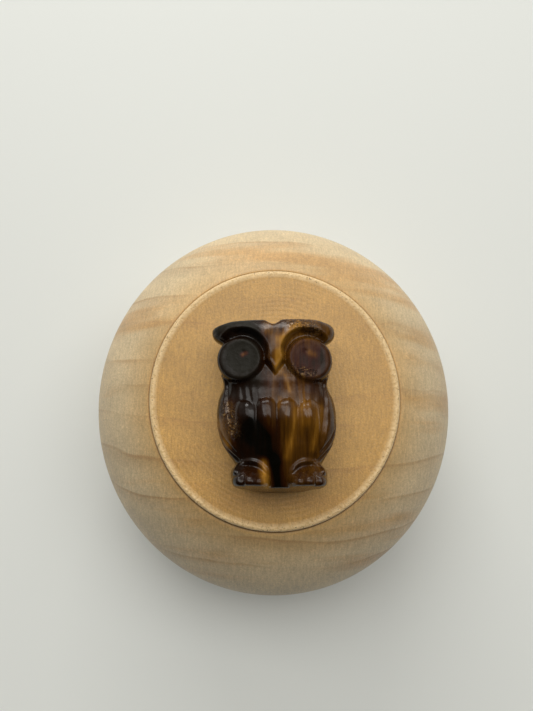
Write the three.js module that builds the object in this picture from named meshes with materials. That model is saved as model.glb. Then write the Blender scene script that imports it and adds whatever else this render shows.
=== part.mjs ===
// A small carved stone owl lying on its back on a turned birch display base.
// Millimetres, +Z up.  The centre of the base's underside is the origin and the owl's head points to +Y.
import * as THREE from "three";
import { ParametricGeometry } from "three/addons/geometries/ParametricGeometry.js";
import { mergeVertices } from "three/addons/utils/BufferGeometryUtils.js";

// ---- Base: one turned piece of birch, a squashed ball with a raised flat disc on top ----
const BASE_DIAMETER = 65; // across the grain lines
const BASE_STRETCH = 1.04; // seasoning leaves the ball slightly longer along Y
const BASE_FOOT_RADIUS = 20.5; // flat ring the base stands on
const BASE_EQUATOR_Z = 20.6; // height of the widest section
const BASE_BULGE = 25.2; // vertical half axis of the dome above the equator
const DISC_RADIUS = 19.2; // raised flat disc
const DISC_STEP = 0.9; // how far the disc stands above the dome at its edge
const DISC_CHAMFER = 0.5; // softened edge of the disc
const CREASE_WIDTH = 0.45; // fine tool groove at the foot of the step
const CREASE_DEPTH = 0.25;
const BASE_SIDES = 72; // facets round the turned base

// ---- Owl: carved from one pebble; its own dimensions are for a carving 25 mm tall ----
const OWL_SCALE = 0.963; // the finished carving is 24 mm tall
const OWL_TOP = 24.9; // flat crown
const OWL_LEAN = 0.036; // sideways lean of the carving, mm per mm of height
const OWL_MIDDLE = 17.2; // height about which it leans
const OWL_GAP = 0.1; // clearance between the back and the disc
const OWL_AT_X = -0.05; // where the owl's foot lies on the disc
const OWL_AT_Y = -14.115;
const FOOT_SLOPE = 0.19; // slant of the polished foot face, rise per mm towards the front
const FOOT_LEVEL = 0.7; // height of that face on the middle plane
const OWL_COLUMNS = 80; // grid of the carved surface
const OWL_ROWS = 44;

// Stations of the trunk and head: height, half width, depth in front, depth behind, squareness.
const TRUNK = [
  [-2.0, 4.3, 3.0, 4.0, 2.3],
  [1.0, 4.6, 3.2, 4.6, 2.3],
  [4.0, 5.6, 3.9, 5.1, 2.3],
  [7.6, 7.7, 4.7, 5.4, 2.3],
  [10.8, 8.25, 5.0, 5.5, 2.3],
  [13.5, 7.95, 4.65, 5.4, 2.4],
  [15.6, 7.15, 4.5, 5.2, 2.6],
  [18.4, 7.75, 5.3, 5.2, 3.2],
  [20.7, 6.9, 5.6, 5.0, 3.4],
  [23.0, 7.7, 5.2, 4.6, 3.2],
  [25.0, 7.8, 4.2, 3.9, 2.8],
  [27.0, 6.8, 3.2, 3.0, 2.4],
];

// Round boss of each eye, with a flat face turned outwards and a shallow dish in it.
const EYE = {
  x: 4.85,
  y: 19.1,
  face: 4.6,
  radius: 3.0,
  round: 0.5,
  depth: 4.5,
  draft: 0.25,
  slope: 0.22,
  tilt: 0.07,
};
const EYE_DISH = { radius: 2.35, depth: 0.16, inward: 0.35, up: 0.4, slope: 0.9 };
// Circle each eye's recess is cut to and its floor, then the lower edge of the beak and brow between them.
const RECESS = {
  x: 4.65,
  y: 19.95,
  radius: 3.12,
  floor: 3.35,
  slope: 0.3,
  ramp: 0.28,
  rampFrom: 20.4,
  draft: 0.3,
};
const BROW = { beak: 16.9, beakSlope: 1.31, beakHalf: 1.3, earSlope: 0.35, crest: 0.2, crestAt: 0.5 };
const EAR = { root: [3.0, 23.4, 1.9], tip: [7.45, 23.35, 0.9], radius: 1.6, squash: 0.65 };
const TAIL = { root: [0, 0.2, 1.0], tip: [0, 4.8, 2.6], radius: 1.35, squash: 1 };
const NOTCH = { half: 1.5, depth: 0.7 };
const CROWN = { roll: 0.03, drop: 0.75 }; // the crown's sideways slant and how far it drops at the ears
// Belly feathers: middle, half width and top of each.
const LOBES = [[-4.48, 1.62, 13.4], [-1.42, 1.42, 13.75], [1.42, 1.42, 13.65], [4.48, 1.62, 13.4]];
const LOBE_FOOT = 7.4;
const LOBE_RISE = 0.7;
// Folded wings: rise, width of the edge, and how the edges run in front and behind by height.
const WING = { rise: 0.45, edge: 0.7, tip: 3.2, feather: 0.3, featherWidth: 0.3 };
const WING_FRONT = [[2, 3.8], [4, 4.5], [8, 5.9], [13, 6.75], [16.4, 6.8], [18, 8.5], [24, 10]];
const WING_REAR = [[2, 2.4], [4, 2.0], [8, 1.2], [13, 1.6], [16, 4.2], [18, 8.5], [24, 10]];
const WING_FEATHERS = [0.42, -0.05, -0.5];
// Feet: middle, half axes and how far out the bevel runs that rounds off their lower outer corners.
const FOOT = { x: 3.95, y: 2.4, z: 1.6, wide: 2.85, high: 1.85, deep: 4.2, corner: 4.95 };
const TOE = { spread: 1.75, rise: 0.55 };
const CUFF = { y: 2.5, radius: 2.45, rise: 0.35, width: 0.32 };

const clamp = (value, low, high) => Math.min(high, Math.max(low, value));
const ease = (low, high, value) => {
  const t = clamp((value - low) / (high - low), 0, 1);
  return t * t * (3 - 2 * t);
};

// Two solids joined with a fillet of size k.  Solids are signed distances, negative inside.
function join(a, b, k) {
  const h = clamp(0.5 + (0.5 * (b - a)) / k, 0, 1);
  return b + (a - b) * h - k * h * (1 - h);
}

// Solid a cut by everything outside b, with an edge rounded by k.
function trim(a, b, k) {
  return -join(-a, -b, k);
}

// Smooth curve through rows of [height, value, ...], read at one height and one column.
function along(rows, y, column) {
  let i = 1;
  while (i < rows.length - 1 && y > rows[i][0]) i += 1;
  const before = rows[Math.max(i - 2, 0)];
  const start = rows[i - 1];
  const end = rows[i];
  const after = rows[Math.min(i + 1, rows.length - 1)];
  const span = end[0] - start[0];
  const t = clamp((y - start[0]) / span, 0, 1);
  const slopeStart = ((end[column] - before[column]) / (end[0] - before[0])) * span;
  const slopeEnd = ((after[column] - start[column]) / (after[0] - start[0])) * span;
  const t2 = t * t;
  const t3 = t2 * t;
  return (
    (2 * t3 - 3 * t2 + 1) * start[column] +
    (t3 - 2 * t2 + t) * slopeStart +
    (3 * t2 - 2 * t3) * end[column] +
    (t3 - t2) * slopeEnd
  );
}

function ellipsoid(x, y, z, rx, ry, rz) {
  const near = Math.hypot(x / rx, y / ry, z / rz);
  const slope = Math.hypot(x / (rx * rx), y / (ry * ry), z / (rz * rz));
  return (near * (near - 1)) / Math.max(slope, 1e-6);
}

// Round-ended bar; a squash below 1 lengthens its section along z.
function bar(x, y, z, shape) {
  const [dx, dy, dz] = shape.tip.map((end, i) => (end - shape.root[i]) * (i === 2 ? shape.squash : 1));
  const [px, py, pz] = [x - shape.root[0], y - shape.root[1], (z - shape.root[2]) * shape.squash];
  const t = clamp((px * dx + py * dy + pz * dz) / (dx * dx + dy * dy + dz * dz), 0, 1);
  return Math.hypot(px - t * dx, py - t * dy, pz - t * dz) - shape.radius;
}

// Trunk and head: each level is |x/w|^p + |z/t|^p = 1, scaled by its gradient to a distance.
function trunk(x, y, z) {
  const wide = along(TRUNK, y, 1);
  const deep = along(TRUNK, y, z > 0 ? 2 : 3);
  const p = along(TRUNK, y, 4);
  const [a, b] = [x / wide, Math.abs(z) / deep];
  const ring = Math.max(Math.pow(a ** p + b ** p, 1 / p), 1e-3);
  const steep = Math.hypot(a ** (p - 1) / wide, b ** (p - 1) / deep) * ring ** (1 - p);
  return (ring - 1) / Math.max(steep, 1e-3);
}

// A cylinder with drafted sides under a slanted face with a rounded rim, less the dish.
function eyeBoss(x, y, z) {
  const draft = EYE.draft * clamp(EYE.face - z, 0, 1.6);
  const radial = Math.hypot(x - EYE.x, y - EYE.y) - EYE.radius + EYE.round - draft;
  const dish = Math.hypot(x - EYE.x + EYE_DISH.inward, y - EYE.y - EYE_DISH.up);
  const dished = EYE_DISH.depth * (1 - ease(EYE_DISH.radius - EYE_DISH.slope, EYE_DISH.radius, dish));
  const face = z - EYE.face + EYE.slope * (x - EYE.x) + EYE.tilt * (y - EYE.y);
  const below = face / Math.hypot(1, EYE.slope) + dished;
  const axial = Math.max(below, -below - EYE.depth) + EYE.round;
  const outside = Math.hypot(Math.max(radial, 0), Math.max(axial, 0));
  return outside + Math.min(Math.max(radial, axial), 0) - EYE.round;
}

// How far inside the brow's outline a place is: outside the eye's circle and above the beak's edge.
function browInside(x, y) {
  const beakEdge = BROW.beak + Math.min(x, BROW.beakHalf) * BROW.beakSlope;
  const low = beakEdge + Math.max(x - BROW.beakHalf, 0) * BROW.earSlope;
  return join(Math.hypot(x - RECESS.x, y - RECESS.y) - RECESS.radius, (y - low) * 0.7, 0.3);
}

// What the eye's recess leaves: the brow inside its outline, and all that lies below the recess floor.
function recess(x, y, z, inside) {
  const slant = RECESS.slope * Math.max(x - RECESS.x, 0);
  const above = z - RECESS.floor + slant - RECESS.ramp * Math.max(RECESS.rampFrom - y, 0);
  return join(RECESS.draft * above - inside, above, 0.35);
}

// How far the belly feathers stand out at a place on the front.
function belly(x, y) {
  let rise = 0;
  for (const [centre, half, top] of LOBES) {
    const q = clamp(Math.hypot(x - centre, Math.max(y - top + half, 0)) / half, 0, 1);
    rise = Math.max(rise, LOBE_RISE * (1 - q ** 2.2) ** 0.9);
  }
  return rise * ease(LOBE_FOOT, LOBE_FOOT + 4, y);
}

// How far the folded wing stands out, less its feather grooves that fan up from the tip.
function wing(x, y, z) {
  const inside = x - along(z > 0 ? WING_FRONT : WING_REAR, y, 1);
  const plate = WING.rise * ease(0, WING.edge, inside) * ease(WING.tip - 0.8, WING.tip + 0.8, y);
  const turn = Math.atan2(z, x);
  const spread = clamp((y - WING.tip) / 9, 0, 1) ** 0.8;
  let groove = 0;
  for (const fan of WING_FEATHERS) {
    const off = (turn - (0.85 + (fan - 0.85) * spread)) * Math.hypot(x, z);
    groove = Math.max(groove, Math.exp(-((off / WING.featherWidth) ** 2)));
  }
  return plate - WING.feather * groove * ease(0.3, 0.7, inside) * (1 - ease(9.5, 12.5, y));
}

// How far three toes and the cuff above them stand out of a foot.
function toes(x, y) {
  let rise = 0;
  for (const side of [-1, 0, 1]) {
    const across = (x - FOOT.x - side * TOE.spread) / 0.98;
    const up = Math.max(y - 2.3 + 0.25 * Math.abs(side), 0) / 1.1;
    rise = Math.max(rise, TOE.rise * Math.sqrt(clamp(1 - across ** 2 - up ** 2, 0, 1)));
  }
  const ring = Math.hypot(x - FOOT.x, y - CUFF.y) - CUFF.radius;
  const cuff = CUFF.rise * Math.exp(-((ring / CUFF.width) ** 2));
  return rise + cuff * ease(CUFF.y + 0.2, CUFF.y + 1.4, y);
}

// The whole owl as one signed distance, in its own upright frame: x across, y up, z out of the belly.
function owl(xLeaning, y, z) {
  const xs = xLeaning - OWL_LEAN * (OWL_MIDDLE - y);
  const x = Math.abs(xs);
  const facing = ease(0.25, 0.7, z / Math.max(Math.hypot(0.45 * x, z), 1e-6));
  let solid = trunk(x, y, z);
  solid = join(solid, ellipsoid(x - FOOT.x, y - FOOT.y, z - FOOT.z, FOOT.wide, FOOT.high, FOOT.deep), 0.6);
  solid = join(solid, bar(x, y, z, TAIL), 0.5);
  solid = join(solid, bar(x, y, z, EAR), 1.2);
  const inside = browInside(x, y);
  const crest = BROW.crest * Math.exp(-(((inside - BROW.crestAt) / 0.45) ** 2)) * ease(16, 17, y);
  solid -= facing * (belly(xs, y) * (1 - ease(5.8, 6.6, x)) + crest + toes(x, y)) + wing(x, y, z);
  solid = trim(solid, recess(x, y, z, inside), 0.3);
  solid = join(solid, eyeBoss(x, y, z), 0.25);
  const notch = NOTCH.depth * (1 - ease(0, NOTCH.half, x));
  const crown = OWL_TOP + CROWN.roll * xs - notch - CROWN.drop * ease(5.5, 10, x);
  solid = trim(solid, y - crown, 0.4);
  solid = trim(solid, (x - y - FOOT.corner) * Math.SQRT1_2, 0.9);
  return trim(solid, FOOT_LEVEL + FOOT_SLOPE * z - y, 0.4);
}

// The carved surface: every point of a rounded outer case is drawn in towards a core until it meets the owl.
function owlSurface(u, v, target) {
  const turn = 2 * Math.PI * (1 - u);
  const theta = turn + 0.35 * (Math.cos(turn) - 1);
  const cap = 0.13;
  const phi = (clamp(Math.min(v, 1 - v) / cap, 0, 1) * Math.PI) / 2;
  const bulge = Math.cos(phi) * Math.sign(v - 0.5);
  const level = clamp((v - cap) / (1 - 2 * cap), 0, 1);
  const [c, s] = [Math.sin(phi) * Math.cos(theta), Math.sin(phi) * Math.sin(theta)];
  const core = new THREE.Vector3(2.9 * c, 1.9 + 21 * level, 1.5 * s);
  const shell = new THREE.Vector3(11 * c, 1.2 + 22.6 * level + 3.4 * bulge, 8.5 * s);
  let inside = 0;
  let outside = 1;
  for (let step = 0; step < 26; step += 1) {
    const middle = (inside + outside) / 2;
    target.lerpVectors(core, shell, middle);
    if (owl(target.x, target.y, target.z) < 0) inside = middle;
    else outside = middle;
  }
}

// Drop the triangles that shrink to nothing where a grid closes on a pole or on its own seam.
function closed(geometry) {
  const bare = new THREE.BufferGeometry().setAttribute("position", geometry.getAttribute("position"));
  bare.setIndex(geometry.getIndex());
  const merged = mergeVertices(bare, 1e-3);
  const index = merged.getIndex().array;
  const kept = [];
  for (let i = 0; i < index.length; i += 3) {
    const [a, b, c] = [index[i], index[i + 1], index[i + 2]];
    if (a !== b && b !== c && c !== a) kept.push(a, b, c);
  }
  merged.setIndex(kept);
  merged.computeVertexNormals();
  return merged;
}

// Profile of the base from the centre of its underside, round the outside, to the centre of the disc.
function baseProfile() {
  const radius = BASE_DIAMETER / 2;
  const points = [new THREE.Vector2(0, 0), new THREE.Vector2(BASE_FOOT_RADIUS, 0)];
  const domeAt = (r) => BASE_EQUATOR_Z + BASE_BULGE * Math.sqrt(1 - (r / radius) ** 2);
  const lower = Math.acos((BASE_FOOT_RADIUS + 0.6) / radius);
  for (let i = 0; i <= 9; i += 1) {
    const a = lower * (1 - i / 9);
    const bulge = (BASE_EQUATOR_Z - 0.5) / Math.sin(lower);
    points.push(new THREE.Vector2(radius * Math.cos(a), BASE_EQUATOR_Z - bulge * Math.sin(a)));
  }
  const crease = DISC_RADIUS + DISC_CHAMFER * 0.4 + CREASE_WIDTH;
  const upper = Math.acos(crease / radius);
  for (let i = 1; i <= 10; i += 1) {
    const r = radius * Math.cos((upper * i) / 10);
    points.push(new THREE.Vector2(r, domeAt(r)));
  }
  const foot = domeAt(DISC_RADIUS);
  points.push(new THREE.Vector2(DISC_RADIUS + 0.1, foot - CREASE_DEPTH));
  points.push(new THREE.Vector2(DISC_RADIUS, foot + DISC_STEP - DISC_CHAMFER));
  points.push(new THREE.Vector2(DISC_RADIUS - DISC_CHAMFER, foot + DISC_STEP));
  points.push(new THREE.Vector2(0, foot + DISC_STEP));
  return points;
}

function finish(name, geometry, color, roughness) {
  const mesh = new THREE.Mesh(geometry, new THREE.MeshStandardMaterial({ color, roughness }));
  mesh.name = name;
  return mesh;
}

const profile = baseProfile();
const discZ = profile[profile.length - 1].y;
const base = closed(new THREE.LatheGeometry(profile, BASE_SIDES));
base.rotateX(Math.PI / 2);
base.scale(1, BASE_STRETCH, 1);

const owlBody = closed(new ParametricGeometry(owlSurface, OWL_COLUMNS, OWL_ROWS));
owlBody.scale(OWL_SCALE, OWL_SCALE, OWL_SCALE);
owlBody.computeBoundingBox();
owlBody.translate(OWL_AT_X, OWL_AT_Y, discZ + OWL_GAP - owlBody.boundingBox.min.z);

const part = new THREE.Group();
part.add(finish("turned_base", base, 0xd8bd8f, 0.7));
part.add(finish("stone_owl", owlBody, 0x3a2616, 0.15));

export default part;
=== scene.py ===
"""A small carved stone owl lying on a turned birch display base, dressed for a soft studio view."""

import logging
import math
from dataclasses import dataclass, field
from enum import Enum
from typing import Sequence

import bpy
import numpy as np
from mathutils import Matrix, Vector


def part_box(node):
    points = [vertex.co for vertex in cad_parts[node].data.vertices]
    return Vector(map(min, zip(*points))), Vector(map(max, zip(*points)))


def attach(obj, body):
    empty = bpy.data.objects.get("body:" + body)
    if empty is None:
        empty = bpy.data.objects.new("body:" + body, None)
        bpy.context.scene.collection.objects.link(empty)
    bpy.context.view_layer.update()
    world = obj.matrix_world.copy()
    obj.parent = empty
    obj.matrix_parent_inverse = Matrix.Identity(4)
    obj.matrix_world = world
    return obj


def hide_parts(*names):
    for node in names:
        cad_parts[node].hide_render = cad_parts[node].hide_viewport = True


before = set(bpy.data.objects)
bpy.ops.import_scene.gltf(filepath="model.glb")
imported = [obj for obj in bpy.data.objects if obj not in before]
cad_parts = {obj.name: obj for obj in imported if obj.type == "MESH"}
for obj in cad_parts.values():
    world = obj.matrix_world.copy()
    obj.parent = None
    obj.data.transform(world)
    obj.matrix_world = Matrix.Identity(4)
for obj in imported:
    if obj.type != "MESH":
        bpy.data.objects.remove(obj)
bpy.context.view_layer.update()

MM = 0.001
LOG = logging.getLogger("owl")

Array = np.ndarray
Point = tuple[float, float, float]
Colour = tuple[float, float, float]


# ---------------------------------------------------------------- small numpy helpers
def ease(low: float, high: float, value: Array) -> Array:
    """Cubic step: 0 below low, 1 above high, 3t^2 - 2t^3 between them.

    Args:
        low: where the step starts.
        high: where it ends.
        value: what it is read at.

    Returns:
        The step's height at each value.
    """
    t = np.clip((value - low) / (high - low), 0.0, 1.0)
    return t * t * (3.0 - 2.0 * t)


def join(a: Array, b: Array, k: float) -> Array:
    """Union of two signed distances, the smaller of both, with a fillet of size k where they meet.

    Args:
        a: first distance, negative inside.
        b: second distance.
        k: size of the fillet.

    Returns:
        The distance of the joined solid.
    """
    h = np.clip(0.5 + 0.5 * (b - a) / k, 0.0, 1.0)
    return b + (a - b) * h - k * h * (1.0 - h)


def trim(a: Array, b: Array, k: float) -> Array:
    """Solid a cut by everything outside b: the larger of both, with an edge rounded by k."""
    return -join(-a, -b, k)


def along(rows: Sequence[Sequence[float]], at: Array, column: int) -> Array:
    """Smooth curve through rows of (height, value, ...): cubic Hermite pieces with finite slopes.

    Args:
        rows: stations in rising height.
        at: heights to read.
        column: which value of each row.

    Returns:
        The interpolated value at each height.
    """
    table = np.asarray(rows, float)
    height, value = table[:, 0], table[:, column]
    slope = np.empty_like(value)
    slope[1:-1] = (value[2:] - value[:-2]) / (height[2:] - height[:-2])
    slope[0] = (value[1] - value[0]) / (height[1] - height[0])
    slope[-1] = (value[-1] - value[-2]) / (height[-1] - height[-2])
    i = np.clip(np.searchsorted(height, at) - 1, 0, len(height) - 2)
    span = height[i + 1] - height[i]
    t = np.clip((at - height[i]) / span, 0.0, 1.0)
    t2, t3 = t * t, t * t * t
    return (
        (2 * t3 - 3 * t2 + 1) * value[i]
        + (t3 - 2 * t2 + t) * slope[i] * span
        + (3 * t2 - 2 * t3) * value[i + 1]
        + (t3 - t2) * slope[i + 1] * span
    )


def ellipsoid(x: Array, y: Array, z: Array, radii: Point) -> Array:
    """Distance to an ellipsoid at the origin: k(k - 1)/|p/r^2| with k = |p/r|."""
    rx, ry, rz = radii
    near = np.sqrt((x / rx) ** 2 + (y / ry) ** 2 + (z / rz) ** 2)
    steep = np.sqrt((x / rx**2) ** 2 + (y / ry**2) ** 2 + (z / rz**2) ** 2)
    return near * (near - 1.0) / np.maximum(steep, 1e-6)


def grid_faces(rows: int, columns: int) -> Array:
    """Quads of a grid that closes on itself along its columns, wound to face outwards."""
    r, c = np.meshgrid(np.arange(rows - 1), np.arange(columns), indexing="ij")
    n = (c + 1) % columns
    here, above = r * columns, (r + 1) * columns
    return np.stack([here + c, here + n, above + n, above + c], -1).reshape(-1, 4)


def closed_skin(name: str, rings: Array, low: Array, high: Array) -> bpy.types.Object:
    """A closed mesh from a grid of rings with a pole at each end.

    Args:
        name: the piece's name.
        rings: rows x columns x 3 places in metres, from the low pole to the high one.
        low: the first pole.
        high: the last pole.

    Returns:
        The new object, linked to the scene.
    """
    rows, columns, _ = rings.shape
    quads = grid_faces(rows, columns)
    around = np.arange(columns)
    after = (around + 1) % columns
    last = (rows - 1) * columns
    pole_low, pole_high = rows * columns, rows * columns + 1
    fans = [(pole_low, int(b), int(a)) for a, b in zip(around, after)]
    fans += [(pole_high, int(last + a), int(last + b)) for a, b in zip(around, after)]
    places = np.vstack([rings.reshape(-1, 3), low, high])
    mesh = bpy.data.meshes.new(name)
    mesh.from_pydata(places.tolist(), [], quads.tolist() + fans)
    mesh.polygons.foreach_set("use_smooth", np.ones(len(mesh.polygons), bool))
    mesh.update()
    made = bpy.data.objects.new(name, mesh)
    bpy.context.collection.objects.link(made)
    return made


# ---------------------------------------------------------------- material graphs
Socket = bpy.types.NodeSocket
Wire = Socket | float | Sequence[float]


class Blend(Enum):
    """How one colour is laid over another."""

    MIX = "MIX"
    MULTIPLY = "MULTIPLY"
    LIGHTEN = "LIGHTEN"


class Graph:
    """One material's node tree, grown by small calls that each hand back a socket."""

    def __init__(self, name: str) -> None:
        """Start an empty material with its shader and output joined."""
        self.material = bpy.data.materials.new(name)
        self.material.use_nodes = True
        self.tree = self.material.node_tree
        self.shader = self.tree.nodes["Principled BSDF"]

    def add(self, kind: str, wires: dict[str | int, Wire], **settings: object) -> bpy.types.Node:
        """Add a node.

        Args:
            kind: the node's type.
            wires: a socket or a constant for each input, by name or number.
            settings: the node's own options.

        Returns:
            The new node.
        """
        node = self.tree.nodes.new(kind)
        for key, value in settings.items():
            setattr(node, key, value)
        for key, value in wires.items():
            self.wire(node.inputs[key], value)
        return node

    def wire(self, into: Socket, value: Wire) -> None:
        """Link a socket, or set the input's own value."""
        if isinstance(value, bpy.types.NodeSocket):
            self.tree.links.new(value, into)
        elif isinstance(value, (int, float)):
            into.default_value = value
        else:
            size = len(into.default_value)
            into.default_value = (*value, 1.0)[:size] if len(value) < size else tuple(value)

    def place(self, scale: Point, location: Point = (0, 0, 0), turn: Point = (0, 0, 0)) -> Socket:
        """The piece's own coordinates in millimetres, times a scale along each axis."""
        here = self.add("ShaderNodeTexCoord", {}).outputs["Object"]
        wires = {"Vector": here, "Location": location, "Rotation": turn, "Scale": [s / MM for s in scale]}
        return self.add("ShaderNodeMapping", wires).outputs["Vector"]

    def noise(self, at: Wire, detail: float = 2.0, rough: float = 0.5, warp: float = 0.0) -> Socket:
        """Smooth noise from 0 to 1 with one cell to a unit of the place it is read at."""
        wires = {"Vector": at, "Scale": 1.0, "Detail": detail, "Roughness": rough, "Distortion": warp}
        return self.add("ShaderNodeTexNoise", wires).outputs["Fac"]

    def math(self, how: str, a: Wire, b: Wire = 0.0, c: Wire = 0.0) -> Socket:
        """One sum on numbers."""
        return self.add("ShaderNodeMath", {0: a, 1: b, 2: c}, operation=how).outputs[0]

    def step(self, value: Wire, low: float, high: float, start: Wire = 0.0, end: Wire = 1.0) -> Socket:
        """Smooth step from start to end as the value goes from low to high."""
        wires = {"Value": value, "From Min": low, "From Max": high, "To Min": start, "To Max": end}
        return self.add("ShaderNodeMapRange", wires, interpolation_type="SMOOTHSTEP").outputs[0]

    def mix(self, share: Wire, a: Wire, b: Wire, how: Blend = Blend.MIX) -> Socket:
        """Two colours mixed by a share of the second."""
        node = self.add("ShaderNodeMix", {0: share}, data_type="RGBA", blend_type=how.value)
        self.wire(node.inputs[6], a)
        self.wire(node.inputs[7], b)
        return node.outputs[2]

    def ramp(self, value: Wire, stops: Sequence[tuple[float, Colour]]) -> Socket:
        """Colours laid along a value, blended between their places."""
        node = self.add("ShaderNodeValToRGB", {"Fac": value})
        bars = node.color_ramp.elements
        bars[0].position, bars[0].color = stops[0][0], (*stops[0][1], 1)
        bars[1].position, bars[1].color = stops[-1][0], (*stops[-1][1], 1)
        for place, colour in stops[1:-1]:
            bars.new(place).color = (*colour, 1)
        return node.outputs["Color"]

    def attribute(self, name: str) -> Socket:
        """A number stored on the mesh."""
        return self.add("ShaderNodeAttribute", {}, attribute_name=name).outputs["Fac"]

    def relief(self, height: Wire, depth: float, strength: float = 1.0, over: Wire | None = None) -> Socket:
        """A normal bumped by a height, whose full swing is depth millimetres."""
        wires: dict[str | int, Wire] = {"Height": height, "Distance": depth * MM, "Strength": strength}
        if over is not None:
            wires["Normal"] = over
        return self.add("ShaderNodeBump", wires).outputs["Normal"]


def store(piece: bpy.types.Object, name: str, values: Array) -> None:
    """Keep one number for each vertex on a mesh, for its material to read."""
    layer = piece.data.attributes.new(name, "FLOAT", "POINT")
    layer.data.foreach_set("value", np.ascontiguousarray(values, np.float32))


# ---------------------------------------------------------------- the turned base
@dataclass(frozen=True)
class Birch:
    """Bare turned birch: upright growth sheets through the solid, ray flecks, pores and tool marks, with a
    painted highlight on the rim and painted shade in the crease.

    Lengths are in millimetres. Each tone is a grain's swing of the colour's level and the least it leaves.
    """

    end_grain: Colour = (0.515, 0.287, 0.073)
    side_grain: Colour = (0.63, 0.485, 0.285)
    late_wood: Colour = (0.36, 0.175, 0.05)
    amber: Colour = (0.50, 0.25, 0.062)
    # fuzz: the rim's pale ragged fibres, also a painted highlight along the rounded edge that catches the
    # light.
    fuzz: Colour = (0.80, 0.57, 0.29)
    # Dark specks on the rim's fibres, and painted shade along the crease at the foot of the step.
    dark_speck_and_crease_shade: Colour = (0.10, 0.052, 0.018)
    sheet_pitch: float = 5.4
    sheet_radius: float = 190.0
    sheet_warp: float = 6.0
    sheet_start: float = 40.35
    sheet_uneven: float = 1.1
    late_share: float = 0.3
    line_share: float = 0.26
    streak_share: float = 0.6
    mottle_tone: tuple[float, float] = (0.55, 0.73)
    ray_tone: tuple[float, float] = (0.52, 0.74)
    fibre_tone: tuple[float, float] = (0.42, 0.79)
    pore_tone: tuple[float, float] = (0.76, 0.62)
    mark_tone: tuple[float, float] = (0.05, 0.975)
    roughness: tuple[float, float] = (0.2, 0.36)
    gloss: float = 0.62
    pore_depth: float = 0.09
    mark_depth: float = 0.02
    fuzz_depth: float = 0.12
    tool_pitch: float = 0.7
    stretch: float = 1.04

    def sheets(self, g: Graph) -> Socket:
        """Late wood of the growth sheets, 0 to 1.

        y - x^2 / 2R and a slow warp is folded at the sheets' pitch. Each fold darkens slowly, ends in a
        darker line and starts again pale.
        """
        here = g.add("ShaderNodeSeparateXYZ", {0: g.place((1, 1, 1))})
        waver = g.noise(g.place((0.035, 0.06, 0.012)), 3.0)
        warp = g.math("MULTIPLY", g.math("SUBTRACT", waver, 0.5), self.sheet_warp)
        square = g.math("POWER", g.math("ABSOLUTE", here.outputs[0]), 2.0)
        bow = g.math("MULTIPLY", square, -0.5 / self.sheet_radius)
        level = g.math("ADD", g.math("ADD", here.outputs[1], bow), warp)
        level = g.math("MULTIPLY_ADD", level, 1 / self.sheet_pitch, self.sheet_start)
        slow = g.add("ShaderNodeCombineXYZ", {0: g.math("MULTIPLY", level, 0.55)}).outputs[0]
        folded = g.math("FRACT", g.math("MULTIPLY_ADD", g.noise(slow, 0.0), self.sheet_uneven, level))
        ending = g.step(folded, 0.955, 1.0, 1.0, 0.0)
        late = g.math("MULTIPLY", g.math("MULTIPLY", g.step(folded, 0.45, 0.94), ending), self.late_share)
        line = g.math("MULTIPLY", g.math("MULTIPLY", g.step(folded, 0.86, 0.95), ending), self.line_share)
        patchy = g.step(g.noise(g.place((0.05, 0.14, 0.02), (3, 5, 7))), 0.36, 0.66, 0.08, 1.0)
        return g.math("MULTIPLY", g.math("ADD", late, line), patchy)

    def material(self) -> bpy.types.Material:
        """Build the finish."""
        g = Graph("birch")
        end = g.attribute("end_grain")
        rim = g.attribute("rim")
        mottle = g.noise(g.place((0.09, 0.13, 0.05)), 4.0, 0.6)
        pores = g.noise(g.place((4.2, 4.2, 0.4)), 3.0, 0.65)
        rays = g.noise(g.place((3.4, 0.55, 0.35), (9, 1, 4)), 2.0, 0.6)
        fibres = g.noise(g.place((2.6, 2.6, 0.09), (1, 8, 2)), 3.0, 0.6)
        streaks = g.step(g.noise(g.place((0.035, 0.24, 0.018), (5, 2, 0)), 3.0), 0.5, 0.72)
        colour = g.mix(end, self.side_grain, self.end_grain)
        colour = g.mix(g.math("MULTIPLY", streaks, self.streak_share), colour, self.amber)
        colour = g.mix(self.sheets(g), colour, self.late_wood)
        marks = self.tool_marks(g)
        tone = g.math("MULTIPLY_ADD", mottle, *self.mottle_tone)
        for grain, swing in (
            (rays, self.ray_tone),
            (fibres, self.fibre_tone),
            (pores, self.pore_tone),
            (g.math("MULTIPLY", marks, end), self.mark_tone),
        ):
            tone = g.math("MULTIPLY", tone, g.math("MULTIPLY_ADD", grain, *swing))
        grey = g.add("ShaderNodeCombineColor", {0: tone, 1: tone, 2: tone}).outputs[0]
        colour = g.mix(1.0, colour, grey, Blend.MULTIPLY)
        tufts = g.noise(g.place((2.2, 2.2, 1.2), (2, 2, 2)), 3.0, 0.7)
        # The pale rim is partly the ragged fibres' own colour and partly a painted highlight on the edge.
        torn_fibres_and_highlight = g.math("MULTIPLY", rim, g.step(tufts, 0.3, 0.56, 0.45, 1.0))
        colour = g.mix(torn_fibres_and_highlight, colour, self.fuzz)
        speck = g.step(g.noise(g.place((3.1, 3.1, 3.1), (7, 7, 7)), 1.0), 0.27, 0.33, 0.75, 0.0)
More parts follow.
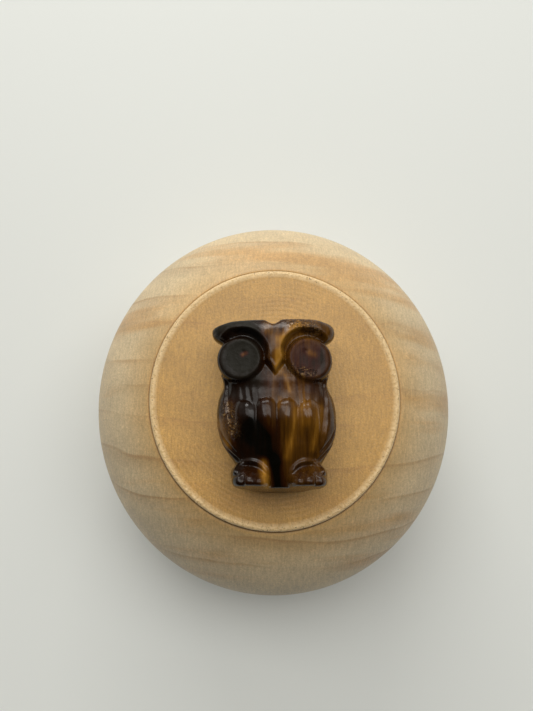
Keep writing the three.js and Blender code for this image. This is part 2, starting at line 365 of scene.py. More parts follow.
        # Painted shade: the crease at the foot of the step is darkened, along with dark specks on the rim.
        speck_and_crease_shade = g.math("MAXIMUM", g.attribute("crease"), g.math("MULTIPLY", speck, rim))
        colour = g.mix(speck_and_crease_shade, colour, self.dark_speck_and_crease_shade)
        g.wire(g.shader.inputs["Base Color"], colour)
        g.wire(g.shader.inputs["Roughness"], g.math("MULTIPLY_ADD", pores, *self.roughness))
        g.shader.inputs["Specular IOR Level"].default_value = self.gloss
        height = g.math("ADD", g.math("MULTIPLY", pores, 0.6), g.math("MULTIPLY", rays, 0.4))
        normal = g.relief(height, self.pore_depth, 0.75)
        normal = g.relief(marks, self.mark_depth, 0.6, normal)
        g.wire(g.shader.inputs["Normal"], g.relief(torn_fibres_and_highlight, self.fuzz_depth, 0.8, normal))
        return g.material

    def tool_marks(self, g: Graph) -> Socket:
        """Rings the gouge left, 0 to 1: a sine of the radius at the tool's pitch, shaken by noise."""
        flat = g.place((1, 1 / self.stretch, 0))
        radius = g.add("ShaderNodeVectorMath", {0: flat}, operation="LENGTH").outputs["Value"]
        shake = g.math("MULTIPLY", g.noise(g.place((0.3, 0.3, 0.1))), 5.0)
        turns = g.math("MULTIPLY_ADD", radius, 2 * math.pi / self.tool_pitch, shake)
        fading = g.step(g.noise(g.place((0.12, 0.12, 0.12), (0, 3, 0))), 0.4, 0.62)
        return g.math("MULTIPLY", g.math("MULTIPLY_ADD", g.math("SINE", turns), 0.5, 0.5), fading)


@dataclass
class TurnedBase:
    """A squashed ball turned from one billet, with a flat foot and a raised flat disc, in millimetres."""

    radius: float = 32.5
    stretch: float = 1.04
    foot_radius: float = 20.5
    foot_round: float = 0.6
    equator: float = 20.6
    bulge: float = 25.2
    disc_radius: float = 19.2
    disc_step: float = 0.9
    disc_round: float = 0.5
    crease_width: float = 0.45
    crease_depth: float = 0.25
    rim_fade: float = 0.35
    rim_reach: float = 1.3
    fuzz_height: float = 0.05
    columns: int = 640
    seed: int = 7
    finish: Birch = field(default_factory=Birch)

    def dome(self, r: Array) -> Array:
        """Height of the dome: equator + bulge * sqrt(1 - (r / radius)^2)."""
        return self.equator + self.bulge * np.sqrt(1 - (r / self.radius) ** 2)

    def profile(self) -> Array:
        """Half section from the underside's centre to the disc's centre.

        Each stretch is an arc or a line: foot, its rounded edge, lower half, dome, crease, edge and disc.

        Returns:
            Rows of radius and height.
        """
        touch = self.foot_radius + self.foot_round
        lower = math.acos(touch / self.radius)
        drop = (self.equator - self.foot_round) / math.sin(lower)
        foot = np.linspace(0.4, self.foot_radius, 10)
        turn = np.linspace(0, np.pi / 2, 5)[1:-1]
        below = np.linspace(lower, 0, 34)
        crease_start = self.disc_radius + self.crease_width
        above = np.linspace(0, math.acos(crease_start / self.radius), 46)[1:]
        level = float(self.dome(np.array(self.disc_radius)))
        top = level + self.disc_step
        dip = np.linspace(0, 1, 6)[1:]
        edge = np.linspace(0, np.pi / 2, 9)
        disc = np.linspace(self.disc_radius - self.disc_round, 0.4, 26)[1:]
        dip_r = crease_start - (self.crease_width - 0.08) * dip
        dip_z = self.dome(crease_start + 0 * dip) * (1 - dip) + level * dip
        dip_z = dip_z - self.crease_depth * np.sin(dip * np.pi / 2)
        stretches = (
            (foot, 0 * foot),
            (self.foot_radius + self.foot_round * np.sin(turn), self.foot_round * (1 - np.cos(turn))),
            (self.radius * np.cos(below), self.equator - drop * np.sin(below)),
            (self.radius * np.cos(above), self.dome(self.radius * np.cos(above))),
            (dip_r, dip_z),
            (
                self.disc_radius - self.disc_round * (1 - np.cos(edge)),
                top - self.disc_round * (1 - np.sin(edge)),
            ),
            (disc, top + 0 * disc),
        )
        return np.vstack([np.stack(pair, -1) for pair in stretches])

    def rim_share(self, rows: Array) -> Array:
        """How far each row lies on the disc's rounded edge: 1 on it, fading towards the disc's centre."""
        top = rows[-1, 1]
        flat = self.disc_radius - self.disc_round
        away = np.hypot(rows[:, 0] - flat, rows[:, 1] - top + self.disc_round)
        near = np.exp(-((np.maximum(flat - rows[:, 0], 0) / self.rim_fade) ** 2))
        return near * (away < self.rim_reach) * (rows[:, 1] > top - self.disc_step * 0.95)

    def crease_shade_share(self, rows: Array) -> Array:
        """How deep each row lies in the tool groove at the foot of the step, where the finish paints shade as
        a dark line.
        """
        foot = float(self.dome(np.array(self.disc_radius)))
        across = np.clip((rows[:, 0] - self.disc_radius) / self.crease_width, 0, 1)
        near = (rows[:, 1] > foot - 2 * self.crease_depth) & (rows[:, 1] < foot + 0.3 * self.disc_step)
        near &= rows[:, 0] < self.disc_radius + self.crease_width * 1.5
        return np.where(near, 1 - ease(0.15, 1.0, across), 0)

    def build(self) -> bpy.types.Object:
        """Turn the base, roughen its rim with ragged fibres, paler in part as a painted highlight, and let it
        stand for its CAD solid.
        """
        rows = self.profile()
        slope = np.gradient(rows, axis=0)
        upward = np.abs(slope[:, 0]) / np.maximum(np.hypot(slope[:, 0], slope[:, 1]), 1e-9)
        turn = 2 * np.pi * np.arange(self.columns) / self.columns
        rim = self.rim_share(rows)
        random = np.random.default_rng(self.seed)
        fuzz = random.uniform(-1, 1, (len(rows), self.columns))
        fuzz = (fuzz + np.roll(fuzz, 1, 1) + np.roll(fuzz, 2, 1)) / 2
        radius = rows[:, :1] + 0.4 * self.fuzz_height * fuzz * rim[:, None]
        height = rows[:, 1:] - self.fuzz_height * np.abs(fuzz) * rim[:, None]
        rings = np.stack([radius * np.cos(turn), self.stretch * radius * np.sin(turn), height + 0 * turn], -1)
        poles = np.array([[0, 0, rows[0, 1]], [0, 0, rows[-1, 1]]])
        base = closed_skin("base", rings * MM, poles[0] * MM, poles[1] * MM)
        for name, share in (
            ("end_grain", ease(0.7, 1.0, upward)),
            ("rim", rim),
            # crease: a painted shade line along the groove at the foot of the step.
            ("crease", 0.85 * self.crease_shade_share(rows)),
        ):
            store(base, name, np.append(np.repeat(share, self.columns), share[[0, -1]]))
        base.data.materials.append(self.finish.material())
        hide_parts("turned_base")
        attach(base, "base")
        return base


# ---------------------------------------------------------------- the owl
@dataclass(frozen=True)
class EyeBoss:
    """A round boss with a flat face turned outwards and a shallow matte dish in it."""

    x: float = 4.85
    y: float = 19.1
    face: float = 4.6
    radius: float = 3.0
    rounding: float = 0.5
    draft: float = 0.25
    slope: float = 0.22
    tilt: float = 0.07
    depth: float = 4.5
    dish_radius: float = 2.35
    dish_depth: float = 0.09
    dish_in: float = 0.35
    dish_up: float = 0.4
    dish_slope: float = 0.9


@dataclass(frozen=True)
class BrowPlate:
    """The raised band over the eyes: ears, forehead and beak, left standing as each eye's recess is cut."""

    x: float = 4.65
    y: float = 19.95
    radius: float = 3.12
    floor: float = 3.35
    floor_slope: float = 0.3
    floor_ramp: float = 0.28
    ramp_from: float = 20.4
    draft: float = 0.3
    crest: float = 0.2
    crest_at: float = 0.5
    beak_y: float = 16.9
    beak_slope: float = 1.31
    beak_half: float = 1.3
    ear_slope: float = 0.35


@dataclass(frozen=True)
class Bar:
    """A round-ended bar between two places, with a radius at each; squash below 1 lengthens it along z."""

    root: Point
    tip: Point
    root_radius: float
    tip_radius: float
    squash: float = 1.0

    def distance(self, x: Array, y: Array, z: Array) -> Array:
        """Distance to the bar: to the nearest place on its spine, less the radius there."""
        spine = np.subtract(self.tip, self.root) * (1, 1, self.squash)
        px, py, pz = x - self.root[0], y - self.root[1], (z - self.root[2]) * self.squash
        t = np.clip((px * spine[0] + py * spine[1] + pz * spine[2]) / float(spine @ spine), 0.0, 1.0)
        away = np.sqrt((px - t * spine[0]) ** 2 + (py - t * spine[1]) ** 2 + (pz - t * spine[2]) ** 2)
        return away - (self.root_radius + (self.tip_radius - self.root_radius) * t)


@dataclass(frozen=True)
class Vein:
    """A band or patch of the stone: a path on the belly side, its half width and how strong it is.

    In a colour band the amount is how much warmer it makes the stone; in a pitted patch it is the share
    of pits, and in a dull patch the share of dullness and painted grey sheen.
    """

    path: tuple[tuple[float, float], ...]
    half: float
    amount: float

    def share(self, x: Array, y: Array) -> Array:
        """exp(-(d / half)^2), with d the distance to the nearest place on the path."""
        nearest = np.full_like(x, 1e9)
        for (ax, ay), (bx, by) in zip(self.path, self.path[1:]):
            run = (bx - ax) ** 2 + (by - ay) ** 2
            t = np.clip(((x - ax) * (bx - ax) + (y - ay) * (by - ay)) / run, 0, 1)
            nearest = np.minimum(nearest, np.hypot(x - ax - t * (bx - ax), y - ay - t * (by - ay)))
        return np.exp(-((nearest / self.half) ** 2))


@dataclass(frozen=True)
class TigersEye:
    """Polished tiger's eye: silky fibres from black through red-brown to gold, with pitted patches and a
    painted grey sheen on the dull patches.
    """

    black: Colour = (0.0022, 0.0018, 0.0010)
    ember: Colour = (0.021, 0.0060, 0.0011)
    amber: Colour = (0.060, 0.0235, 0.0028)
    honey: Colour = (0.125, 0.050, 0.0045)
    gold: Colour = (0.30, 0.140, 0.018)
    pale: Colour = (0.42, 0.27, 0.11)
    polish: float = 0.13
    matte: float = 0.34
    gloss: float = 0.23
    # Painted sheen: a grey veil over the dark stone on its dull patches, standing in for their soft
    # reflection of the room.
    painted_sheen_grey: Colour = (0.0165, 0.0147, 0.0108)
    ior: float = 1.54
    matte_gloss: float = 0.28
    spark_share: float = 0.75
    fine_swing: float = 0.85
    broad_swing: float = 0.7
    ripple_depth: float = 0.17
    grit_depth: float = 0.09
    hole_depth: float = 0.10
    fibre_pitch: float = 0.42
    pit_pitch: float = 0.36

    def material(self) -> bpy.types.Material:
        """Build the finish."""
        g = Graph("tigers_eye")
        warmth, pits, matte = (g.attribute(name) for name in ("warmth", "pits", "matte"))
        fine = g.noise(g.place((1 / self.fibre_pitch, 0.13, 0.8), turn=(0, 0, 0.03)), 4.0, 0.62, 0.25)
        broad = g.noise(g.place((0.75, 0.06, 0.25), (4, 4, 4)), 2.0, 0.5, 0.2)
        fine = g.math("MULTIPLY_ADD", fine, self.fine_swing, -0.5 * self.fine_swing)
        broad = g.math("MULTIPLY_ADD", broad, self.broad_swing, -0.5 * self.broad_swing)
        swing = g.math("ADD", fine, broad)
        room = g.math("MULTIPLY_ADD", g.step(warmth, 0.02, 0.6), 0.85, 0.12)
        tone = g.math("MULTIPLY_ADD", swing, room, warmth)
        stops = zip((0.0, 0.22, 0.42, 0.66, 1.0), (self.black, self.ember, self.amber, self.honey, self.gold))
        colour = g.ramp(tone, tuple(stops))
        coarse = g.noise(g.place((2.3, 1.5, 1.9), (1, 1, 1)), 4.0, 0.72, 1.2)
        ragged = g.noise(g.place((1 / self.pit_pitch,) * 3, (2, 6, 1)), 3.0, 0.75, 0.6)
        patchy = g.math("MULTIPLY", pits, g.step(coarse, 0.3, 0.62, 0.35, 1.0))
        hole = g.math("MULTIPLY", patchy, g.step(ragged, 0.36, 0.5, 1.0, 0.0))
        spark = g.math("MULTIPLY", patchy, g.step(ragged, 0.54, 0.68))
        colour = g.mix(g.math("MULTIPLY", spark, self.spark_share), colour, self.pale)
        colour = g.mix(hole, colour, self.black)
        # Painted sheen: dull patches are lightened towards the grey veil.
        colour = g.mix(matte, colour, self.painted_sheen_grey, Blend.LIGHTEN)
        g.wire(g.shader.inputs["Base Color"], colour)
        smear = g.noise(g.place((0.9, 0.7, 0.9), (6, 0, 3)), 3.0, 0.6)
        rough = g.math("MULTIPLY_ADD", matte, self.matte - self.polish, self.polish)
        rough = g.math("MULTIPLY_ADD", smear, 0.12, rough)
        g.wire(g.shader.inputs["Roughness"], g.math("MULTIPLY_ADD", hole, 0.3, rough))
        g.shader.inputs["IOR"].default_value = self.ior
        gloss = g.step(smear, 0.25, 0.75, 0.5 * self.gloss, 1.5 * self.gloss)
        dulled = g.math("MULTIPLY_ADD", matte, self.matte_gloss - 1.0, 1.0)
        g.wire(g.shader.inputs["Specular IOR Level"], g.math("MULTIPLY", gloss, dulled))
        ripple = g.noise(g.place((0.55, 0.45, 0.5), (2, 2, 5)), 2.0, 0.5)
        normal = g.relief(ripple, self.ripple_depth, 0.5)
        grit = g.math("MULTIPLY", matte, g.noise(g.place((2.6, 2.6, 2.6), (3, 0, 1)), 3.0, 0.65))
        normal = g.relief(grit, self.grit_depth, 0.6, normal)
        normal = g.relief(g.math("SUBTRACT", 1.0, hole), self.hole_depth, 0.9, normal)
        g.wire(g.shader.inputs["Normal"], normal)
        return g.material


@dataclass
class StoneOwl:
    """The carving: one pebble, as a signed distance in its own upright frame in millimetres.

    x runs across, y up from the feet and z out of the belly.
    """

    scale: float = 0.963
    top: float = 24.9
    lean: float = 0.036
    middle: float = 17.2
    foot_slope: float = 0.19
    foot_level: float = 0.7
    trunk: tuple = (
        (-2.0, 4.3, 3.0, 4.0, 2.3),
        (1.0, 4.6, 3.2, 4.6, 2.3),
        (4.0, 5.6, 3.9, 5.1, 2.3),
        (7.6, 7.7, 4.7, 5.4, 2.3),
        (10.8, 8.25, 5.0, 5.5, 2.3),
        (13.5, 7.95, 4.65, 5.4, 2.4),
        (15.6, 7.15, 4.5, 5.2, 2.6),
        (18.4, 7.75, 5.3, 5.2, 3.2),
        (20.7, 6.9, 5.6, 5.0, 3.4),
        (23.0, 7.7, 5.2, 4.6, 3.2),
        (25.0, 7.8, 4.2, 3.9, 2.8),
        (27.0, 6.8, 3.2, 3.0, 2.4),
    )
    eye: EyeBoss = field(default_factory=EyeBoss)
    brow: BrowPlate = field(default_factory=BrowPlate)
    ear: Bar = Bar((3.0, 23.4, 1.9), (7.45, 23.35, 0.9), 1.6, 1.6, 0.65)
    tail: Bar = Bar((0.0, 0.2, 1.0), (0.0, 4.8, 2.6), 1.35, 1.35)
    notch_half: float = 1.5
    notch_depth: float = 0.7
    crown_roll: float = 0.03
    crown_drop: float = 0.75
    lobes: tuple = ((-4.48, 1.62, 13.4), (-1.42, 1.42, 13.75), (1.42, 1.42, 13.65), (4.48, 1.62, 13.4))
    lobe_foot: float = 7.4
    lobe_rise: float = 0.7
    flute_pitch: float = 1.15
    flute_depth: float = 0.035
    wing_rise: float = 0.45
    wing_edge: float = 0.7
    wing_tip: float = 3.2
    feather: float = 0.3
    feather_width: float = 0.3
    wing_front: tuple = ((2, 3.8), (4, 4.5), (8, 5.9), (13, 6.75), (16.4, 6.8), (18, 8.5), (24, 10))
    wing_rear: tuple = ((2, 2.4), (4, 2.0), (8, 1.2), (13, 1.6), (16, 4.2), (18, 8.5), (24, 10))
    foot_at: Point = (3.95, 2.4, 1.6)
    foot_radii: Point = (2.85, 1.85, 4.2)
    foot_corner: float = 4.95
    toe_spread: float = 1.75
    toe_half: float = 0.98
    toe_long: float = 1.1
    toe_y: float = 2.3
    toe_rise: float = 0.55
    cuff_y: float = 2.5
    cuff_radius: float = 2.45
    cuff_width: float = 0.32
    cuff_rise: float = 0.35
    pupils: tuple = ((-4.45, 20.1), (4.35, 20.2))
    pupil_radius: float = 0.32
    pupil_depth: float = 0.2
    dimple_at: tuple = (-8.6, 23.1)
    dimple_radius: float = 0.25
    dimple_depth: float = 0.15
    ground: tuple = ((-7, 0.08), (-2.6, 0.1), (-0.6, 0.36), (1.2, 0.44), (5, 0.47), (7.5, 0.36))
    veins: tuple = (
        Vein(((3.0, 23.6), (2.1, 22.7), (0.9, 21.8)), 0.95, 0.5),
        Vein(((1.0, 21.8), (0.8, 20.2)), 0.6, 0.28),
        Vein(((0.7, 19.8), (0.5, 17.5)), 0.8, 0.6),
        Vein(((-1.1, 23.9), (-1.2, 23.0)), 0.7, 0.2),
        Vein(((-0.7, 18.4), (-0.6, 17.4)), 0.45, -0.16),
        Vein(((1.4, 16.8), (1.9, 14.6)), 0.3, 0.3),
        Vein(((0.6, 13.6), (0.5, 12.4)), 0.35, 0.28),
        Vein(((3.0, 12.0), (2.3, 9.0), (1.6, 5.6)), 0.5, 0.24),
        Vein(((4.4, 12.6), (4.8, 10.6)), 1.2, 0.22),
        Vein(((6.2, 12.4), (5.9, 9.6), (5.2, 6.6)), 0.45, 0.24),
        Vein(((6.9, 12.0), (6.7, 9.0)), 0.5, 0.14),
        Vein(((4.1, 9.2), (3.9, 6.0)), 0.7, -0.14),
        Vein(((0.3, 10.6), (0.4, 5.0)), 0.5, -0.12),
        Vein(((-3.0, 9.0), (-1.3, 8.0), (-0.9, 5.6)), 1.3, -0.4),
        Vein(((-1.5, 4.7), (-1.2, 1.2)), 0.8, 0.85),
        Vein(((-8.0, 10.2), (-7.4, 8.4), (-6.8, 7.2)), 0.9, 0.6),
        Vein(((-6.6, 12.6), (-6.0, 9.4)), 0.9, 0.38),
        Vein(((-4.1, 19.9), (-4.6, 19.7)), 0.42, 0.4),
        Vein(((4.9, 20.0), (5.5, 19.7)), 0.45, 0.26),
        Vein(((4.6, 19.0), (5.2, 19.0)), 2.3, -0.2),
        Vein(((7.6, 23.6), (7.6, 22.4)), 0.8, 0.15),
        Vein(((-0.2, 4.5), (0.3, 0.6)), 1.1, -0.5),
        Vein(((-3.8, 3.4), (-3.6, 1.4)), 1.1, 0.1),
        Vein(((3.6, 3.6), (4.4, 1.4)), 1.8, -0.22),
    )
    sheet_lean: float = 0.22
    pitted: tuple = (
        Vein(((2.6, 24.3), (4.6, 24.0), (5.6, 23.3)), 0.75, 1.0),
        Vein(((2.3, 17.6), (3.6, 17.3), (5.2, 17.1)), 0.55, 1.0),
        Vein(((-6.9, 12.3), (-6.5, 11.0), (-6.0, 9.2)), 0.8, 1.0),
    )
    # Dull patches: rougher, less glossy, and lightened with a painted grey sheen.
    dull_and_sheen_patches: tuple = (
        Vein(((-8.7, 23.2), (-7.4, 24.0), (-5.0, 24.5), (-3.0, 23.4), (-1.9, 21.6)), 0.85, 0.85),
        Vein(((-2.6, 16.4), (-0.4, 15.6), (2.8, 15.4), (4.8, 15.2)), 1.5, 0.6),
        Vein(((0.8, 21.9), (0.8, 20.4)), 1.0, 0.75),
        Vein(((-7.4, 17.4), (-6.6, 16.8)), 0.8, 0.4),
    )
    finish: TigersEye = field(default_factory=TigersEye)
    polish_passes: int = 2
    polish_share: float = 0.4
    rows: int = 238
    columns: int = 416

    def core(self, x: Array, y: Array, z: Array) -> Array:
        """Distance to the trunk: each level is |x/w|^p + |z/t|^p = 1, scaled by its gradient."""
        wide = along(self.trunk, y, 1)
        deep = np.where(z > 0, along(self.trunk, y, 2), along(self.trunk, y, 3))
        p = along(self.trunk, y, 4)
        a, b = np.abs(x) / wide, np.abs(z) / deep
        ring = np.maximum((a**p + b**p) ** (1 / p), 1e-3)
        steep = np.hypot(a ** (p - 1) / wide, b ** (p - 1) / deep) * ring ** (1 - p)
        return (ring - 1) / np.maximum(steep, 1e-3)

    def eye_boss(self, x: Array, y: Array, z: Array) -> Array:
        """Distance to the boss: a cylinder under a slanted face with a rounded rim, less the dish."""
        e = self.eye
        radial = np.hypot(x - e.x, y - e.y) - e.radius + e.rounding - e.draft * np.clip(e.face - z, 0, 1.6)
        below = (z - e.face + e.slope * (x - e.x) + e.tilt * (y - e.y)) / math.hypot(1, e.slope)
        dish = np.hypot(x - e.x + e.dish_in, y - e.y - e.dish_up)
        below = below + e.dish_depth * (1 - ease(e.dish_radius - e.dish_slope, e.dish_radius, dish))
        axial = np.maximum(below, -below - e.depth) + e.rounding
        away = np.hypot(np.maximum(radial, 0), np.maximum(axial, 0))
        return away + np.minimum(np.maximum(radial, axial), 0) - e.rounding

    def brow_inside(self, x: Array, y: Array) -> Array:
        """How far inside the brow's outline a place is: outside the eye's circle, above the beak's edge."""
        b = self.brow
        low = b.beak_y + np.minimum(x, b.beak_half) * b.beak_slope
        low = low + np.maximum(x - b.beak_half, 0) * b.ear_slope
        return join(np.hypot(x - b.x, y - b.y) - b.radius, (y - low) * 0.7, 0.3)

    def recess(self, x: Array, y: Array, z: Array, inside: Array) -> Array:
        """Distance to what the eye's recess leaves: the brow's outline, and all below the recess floor."""
        b = self.brow
        slant = b.floor_slope * np.maximum(x - b.x, 0)
        above = z - b.floor + slant - b.floor_ramp * np.maximum(b.ramp_from - y, 0)
        return join(b.draft * above - inside, above, 0.35)

    def belly(self, x: Array, y: Array) -> Array:
        """How far the belly feathers stand out: rise * (1 - q^2.2)^0.9, q the distance from a lobe's spine.

        Shallow flutes, a sine across the breast, run up the lobes and the chest over them.
        """
        rise = np.zeros_like(x)
        for centre, half, top in self.lobes:
            q = np.clip(np.hypot(x - centre, np.maximum(y - top + half, 0)) / half, 0, 1)
            rise = np.maximum(rise, self.lobe_rise * (1 - q**2.2) ** 0.9)
        sway = 2 * np.pi * x / self.flute_pitch + 1.2 * np.sin(0.7 * y + x)
        flutes = self.flute_depth * np.sin(sway) * ease(9, 11, y) * (1 - ease(16, 16.8, y))
        return rise * ease(self.lobe_foot, self.lobe_foot + 4, y) + flutes

    def wing(self, x: Array, y: Array, z: Array) -> Array:
        """How far the folded wing stands out, less its feather grooves that fan up from the tip."""
        inside = np.where(z > 0, x - along(self.wing_front, y, 1), x - along(self.wing_rear, y, 1))
        plate = self.wing_rise * ease(0, self.wing_edge, inside)
        plate = plate * ease(self.wing_tip - 0.8, self.wing_tip + 0.8, y)
        turn = np.arctan2(z, x)
        spread = np.clip((y - self.wing_tip) / 9, 0, 1) ** 0.8
        groove = np.zeros_like(x)
        for fan in (0.42, -0.05, -0.5):
            off = (turn - (0.85 + (fan - 0.85) * spread)) * np.hypot(x, z)
            groove = np.maximum(groove, np.exp(-((off / self.feather_width) ** 2)))
        return plate - self.feather * groove * ease(0.3, 0.7, inside) * (1 - ease(9.5, 12.5, y))

    def toes(self, x: Array, y: Array) -> Array:
        """How far three toes and the cuff above them stand out of a foot."""
        fx = self.foot_at[0]
        rise = np.zeros_like(x)
        for side in (-1, 0, 1):
            across = (x - fx - side * self.toe_spread) / self.toe_half
            up = np.maximum(y - self.toe_y + 0.25 * abs(side), 0) / self.toe_long
            rise = np.maximum(rise, self.toe_rise * np.sqrt(np.clip(1 - across**2 - up**2, 0, 1)))
        ring = np.hypot(x - fx, y - self.cuff_y) - self.cuff_radius
        cuff = self.cuff_rise * np.exp(-((ring / self.cuff_width) ** 2))
        return rise + cuff * ease(self.cuff_y + 0.2, self.cuff_y + 1.4, y)

    def drilled(self, x: Array, y: Array) -> Array:
        """How deep the drilled pupils and the left ear's dimple are: gaussians of the distance to each."""
        deep = np.zeros_like(x)
        for px, py in self.pupils:
            deep = deep + self.pupil_depth * np.exp(-((np.hypot(x - px, y - py) / self.pupil_radius) ** 2))
        away = np.hypot(x - self.dimple_at[0], y - self.dimple_at[1])
        return deep + self.dimple_depth * np.exp(-((away / self.dimple_radius) ** 2))

    def distance(self, x_leaning: Array, y: Array, z: Array) -> Array:
        """The whole owl as one signed distance, negative inside the stone."""
        xs = x_leaning - self.lean * (self.middle - y)
        x = np.abs(xs)
        fx, fy, fz = self.foot_at
        front = ease(0.25, 0.7, z / np.maximum(np.hypot(0.45 * x, z), 1e-6))
        solid = self.core(x, y, z)
        solid = join(solid, ellipsoid(x - fx, y - fy, z - fz, self.foot_radii), 0.6)
        solid = join(solid, self.tail.distance(x, y, z), 0.5)
        solid = join(solid, self.ear.distance(x, y, z), 1.2)
        solid = solid - front * self.belly(xs, y) * (1 - ease(5.8, 6.6, x)) - self.wing(x, y, z)
        inside = self.brow_inside(x, y)
        crest = self.brow.crest * np.exp(-(((inside - self.brow.crest_at) / 0.45) ** 2)) * ease(16, 17, y)
        solid = solid - front * (crest + self.toes(x, y))
        solid = trim(solid, self.recess(x, y, z, inside), 0.3)
        solid = join(solid, self.eye_boss(x, y, z), 0.25) + front * self.drilled(xs, y)
        crown = self.top + self.crown_roll * xs - self.notch_depth * (1 - ease(0, self.notch_half, x))
        crown = crown - self.crown_drop * ease(5.5, 10, x)
        solid = trim(solid, y - crown, 0.4)
        solid = trim(solid, (x - y - self.foot_corner) * math.sqrt(0.5), 0.9)
        return trim(solid, self.foot_level + self.foot_slope * z - y, 0.4)

    def surface(self, u: Array, v: Array) -> Array:
        """The carved surface: a rounded case drawn in along straight lines to a core until it meets the owl.

        Args:
            u: 0 to 1 once round the owl.
            v: 0 to 1 from the middle of the foot face to the middle of the crown.

        Returns:
            Places in the carving's own frame, in millimetres, with the same shape as u and a last axis of 3.
        """
        turn = 2 * np.pi * (1 - u)
        theta = turn + 0.35 * (np.cos(turn) - 1)
        cap = 0.13
        phi = np.minimum(np.minimum(v, 1 - v) / cap, 1) * np.pi / 2
        reach, bulge = np.sin(phi), np.cos(phi) * np.sign(v - 0.5)
        level = np.clip((v - cap) / (1 - 2 * cap), 0, 1)
        c, s = reach * np.cos(theta), reach * np.sin(theta)
        core = np.stack([2.9 * c, 1.9 + 21.0 * level, 1.5 * s], -1)
        shell = np.stack([11 * c, 1.2 + 22.6 * level + 3.4 * bulge, 8.5 * s], -1)
        low = np.zeros_like(u)
        high = np.ones_like(u)
        for _ in range(20):
            half = (low + high) / 2
            p = core + (shell - core) * half[..., None]
            inside = self.distance(p[..., 0], p[..., 1], p[..., 2]) < 0
            low = np.where(inside, half, low)
            high = np.where(inside, high, half)
        return core + (shell - core) * low[..., None]

    def relaxed(self, places: Array) -> Array:
        """Ease the grid: each place moves part way to the mean of its four neighbours."""
        for _ in range(self.polish_passes):
            padded = np.concatenate([places[:1], places, places[-1:]])
            around = np.roll(places, 1, 1) + np.roll(places, -1, 1) + padded[2:] + padded[:-2]
            places = places + self.polish_share * (around / 4 - places)
        return places

    def dress(self, owl: bpy.types.Object, places: Array) -> None:
        """Give the owl its finish, with its colour bands, pits and matte dishes as numbers on the mesh; the
        matte number also lays a painted grey sheen.

        Args:
            owl: the carved piece.
            places: its vertices in the carving's own frame.
        """
        x, y, z = places.T
        sheet = x + self.sheet_lean * np.minimum(z, 0)
        warmth = along(self.ground, sheet, 1)
        for vein in self.veins:
            warmth = warmth + vein.amount * vein.share(sheet, y)
        pits = sum(patch.amount * patch.share(x, y) for patch in self.pitted) * ease(0.5, 2.0, z)
        e = self.eye
        level = x - self.lean * (self.middle - y)
        out = np.hypot(np.abs(level) - e.x + e.dish_in, y - e.y - e.dish_up)
        matte = 1 - ease(e.dish_radius - 0.2, e.dish_radius + 0.45, out)
        whole = np.hypot(np.abs(level) - e.x, y - e.y)
        matte = np.maximum(matte, 0.6 * (1 - ease(e.radius - 0.4, e.radius + 0.2, whole)))
        for patch in self.dull_and_sheen_patches:
            matte = np.maximum(matte, patch.amount * patch.share(x, y))
        store(owl, "warmth", np.clip(warmth, 0, 1.2))
        store(owl, "pits", np.clip(pits * 1.3, 0, 1))
        # matte: dullness, and where the painted grey sheen is laid over the dark stone.
        store(owl, "matte", matte * ease(1.0, 3.0, z))
        owl.data.materials.append(self.finish.material())

    def build(self) -> bpy.types.Object:
        """Carve the owl, lay it where its CAD solid lies and let it stand for that solid."""
        v = np.linspace(0, 1, self.rows + 2)
        u = np.arange(self.columns) / self.columns
        places = self.relaxed(self.surface(*np.broadcast_arrays(u[None, :], v[1:-1, None])))
        poles = self.surface(np.zeros(2), np.array([0.0, 1.0]))
        low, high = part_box("stone_owl")
        at = np.array([(low.x + high.x) / 2, (low.y + high.y) / 2, low.z])
        flat = places.reshape(-1, 3) * self.scale
        middle = (flat.min(0) + flat.max(0)) / 2
        shift = at - np.array([middle[0], middle[1], flat[:, 2].min()]) * MM
        size = self.scale * MM
        owl = closed_skin("owl", places * size + shift, poles[0] * size + shift, poles[1] * size + shift)
        self.dress(owl, np.vstack([places.reshape(-1, 3), poles]))
        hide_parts("stone_owl")
        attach(owl, "owl")
        return owl


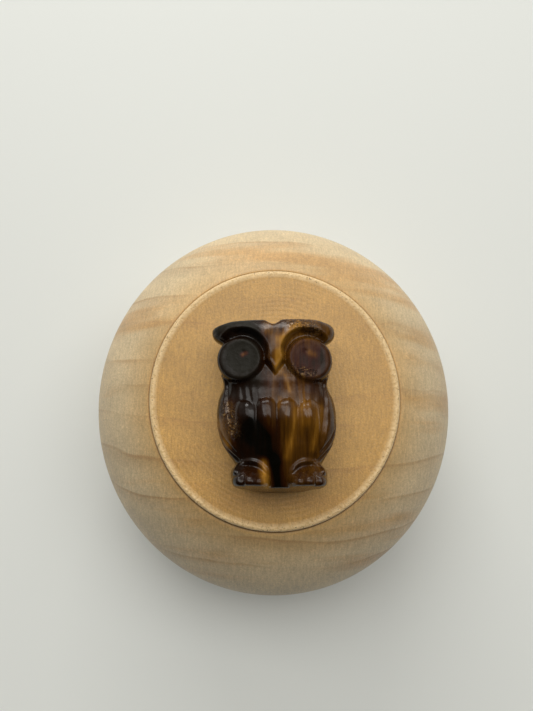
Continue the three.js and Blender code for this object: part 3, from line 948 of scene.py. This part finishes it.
# ---------------------------------------------------------------- studio
@dataclass
class Studio:
    """The pale table, the soft light and the camera that looks almost straight down."""

    over_disc: Point = (-1.245, -6.482, 81.51)
    tilt: float = 8.93
    lens: float = 27.05

    floor_half: float = 0.9
    floor_colour: Colour = (0.77, 0.787, 0.762)
    window_from: Point = (70.0, 300.0, 860.0)
    window_size: tuple[float, float] = (1.4, 0.5)
    window_power: float = 5.9
    lamp_from: Point = (-60.0, 440.0, 260.0)
    lamp_size: tuple[float, float] = (0.34, 0.1)
    lamp_power: float = 0.9
    light_colour: Colour = (1.0, 0.99, 0.955)
    sky_colour: Colour = (1.0, 0.98, 0.915)
    sky_turn: tuple[float, float] = (-0.3, 0.75)
    sky_bright: float = 0.8
    sky_dark: float = 0.02
    horizon_level: float = 0.3
    holder_at: float = -0.3
    holder_wide: float = 0.36
    holder_long: float = 0.38
    holder_level: float = 0.03
    holder_edge: tuple[float, float] = (0.86, 1.25)
    horizon_top: float = 0.75

    def floor(self) -> bpy.types.Object:
        """A large pale sheet, z = 0 over a grid of two parameters."""
        edge = np.linspace(-self.floor_half, self.floor_half, 9)
        x, y = np.meshgrid(edge, edge, indexing="xy")
        places = np.stack([x, y, 0 * x], -1).reshape(-1, 3)
        r, c = np.meshgrid(np.arange(8), np.arange(8), indexing="ij")
        corner = (r * 9 + c).reshape(-1)
        mesh = bpy.data.meshes.new("floor")
        quads = np.stack([corner, corner + 1, corner + 10, corner + 9], -1)
        mesh.from_pydata(places.tolist(), [], quads.tolist())
        made = bpy.data.objects.new("floor", mesh)
        bpy.context.collection.objects.link(made)
        g = Graph("paper")
        cloud = g.noise(g.place((0.01, 0.01, 0.01)), 2.0)
        shade = tuple(c * 0.985 for c in self.floor_colour)
        g.wire(g.shader.inputs["Base Color"], g.mix(cloud, self.floor_colour, shade))
        g.shader.inputs["Roughness"].default_value = 0.75
        g.shader.inputs["Specular IOR Level"].default_value = 0.2
        mesh.materials.append(g.material)
        return made

    def light(self, name: str, place: Point, size: tuple[float, float], power: float) -> None:
        """Hang a soft rectangular light that faces the object.

        Args:
            name: what it is called.
            place: where it hangs, in millimetres.
            size: its width and height in metres.
            power: in watts.
        """
        data = bpy.data.lights.new(name, "AREA")
        data.shape = "RECTANGLE"
        data.size, data.size_y = size
        data.energy = power
        data.color = self.light_colour
        hung = bpy.data.objects.new(name, data)
        bpy.context.collection.objects.link(hung)
        hung.location = Vector(place) * MM
        hung.rotation_euler = (-hung.location).to_track_quat("-Z", "Y").to_euler()

    def sky(self) -> None:
        """Soft room light: brighter towards the window, with the camera and its holder dark overhead.

        The level goes with the direction's y, and fades out inside an ellipse of directions near straight up.
        """
        world = bpy.data.worlds.new("room")
        bpy.context.scene.world = world
        world.use_nodes = True
        tree = world.node_tree
        add, link = tree.nodes.new, tree.links.new

        def step(source: Socket, low: float, high: float, start: float, end: float) -> Socket:
            """Smooth step of one socket."""
            node = add("ShaderNodeMapRange")
            node.interpolation_type = "SMOOTHSTEP"
            for place, value in zip(("From Min", "From Max", "To Min", "To Max"), (low, high, start, end)):
                node.inputs[place].default_value = value
            link(source, node.inputs["Value"])
            return node.outputs[0]

        look = add("ShaderNodeTexCoord")
        axes = add("ShaderNodeSeparateXYZ")
        link(look.outputs["Generated"], axes.inputs[0])
        centred = add("ShaderNodeMapping")
        centred.vector_type = "TEXTURE"
        centred.inputs["Location"].default_value = (0.0, self.holder_at, 1.0)
        centred.inputs["Scale"].default_value = (self.holder_wide, self.holder_long, 1.0)
        link(look.outputs["Generated"], centred.inputs["Vector"])
        away = add("ShaderNodeVectorMath")
        away.operation = "LENGTH"
        link(centred.outputs[0], away.inputs[0])
        level = add("ShaderNodeMath")
        level.operation = "MULTIPLY"
        link(step(axes.outputs["Y"], *self.sky_turn, self.sky_dark, self.sky_bright), level.inputs[0])
        link(step(away.outputs["Value"], *self.holder_edge, self.holder_level, 1.0), level.inputs[1])
        low = add("ShaderNodeMath")
        low.operation = "MULTIPLY"
        link(level.outputs[0], low.inputs[0])
        link(step(axes.outputs["Z"], 0.0, self.horizon_top, self.horizon_level, 1.0), low.inputs[1])
        back = tree.nodes["Background"]
        back.inputs["Color"].default_value = (*self.sky_colour, 1.0)
        link(low.outputs[0], back.inputs["Strength"])

    def build(self, disc: Vector) -> None:
        """Set up the camera, floor and light, and show colours as they are."""
        self.camera(disc)
        self.floor()
        self.light("window", self.window_from, self.window_size, self.window_power)
        self.light("lamp", self.lamp_from, self.lamp_size, self.lamp_power)
        self.sky()
        view = bpy.context.scene.view_settings
        view.view_transform = "Standard"
        view.look = "None"
        view.exposure = 0.0
        view.gamma = 1.0

    def camera(self, disc: Vector) -> None:
        """Hang the camera over the disc, a little towards the owl's feet."""
        data = bpy.data.cameras.new("camera")
        data.sensor_width = 36.0
        data.sensor_fit = "AUTO"
        data.lens = self.lens
        data.clip_start = 0.005
        held = bpy.data.objects.new("camera", data)
        bpy.context.collection.objects.link(held)
        held.location = disc + Vector(self.over_disc) * MM
        held.rotation_euler = (math.radians(self.tilt), 0, 0)
        bpy.context.scene.camera = held


def main() -> None:
    """Build the base, the owl and the studio."""
    logging.basicConfig(level=logging.INFO, format="%(message)s")
    for piece in (TurnedBase().build(), StoneOwl().build()):
        LOG.info("%s: %d faces", piece.name, len(piece.data.polygons))
    low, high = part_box("turned_base")
    Studio().build(Vector(((low.x + high.x) / 2, (low.y + high.y) / 2, high.z)))


if __name__ == "__main__":
    main()
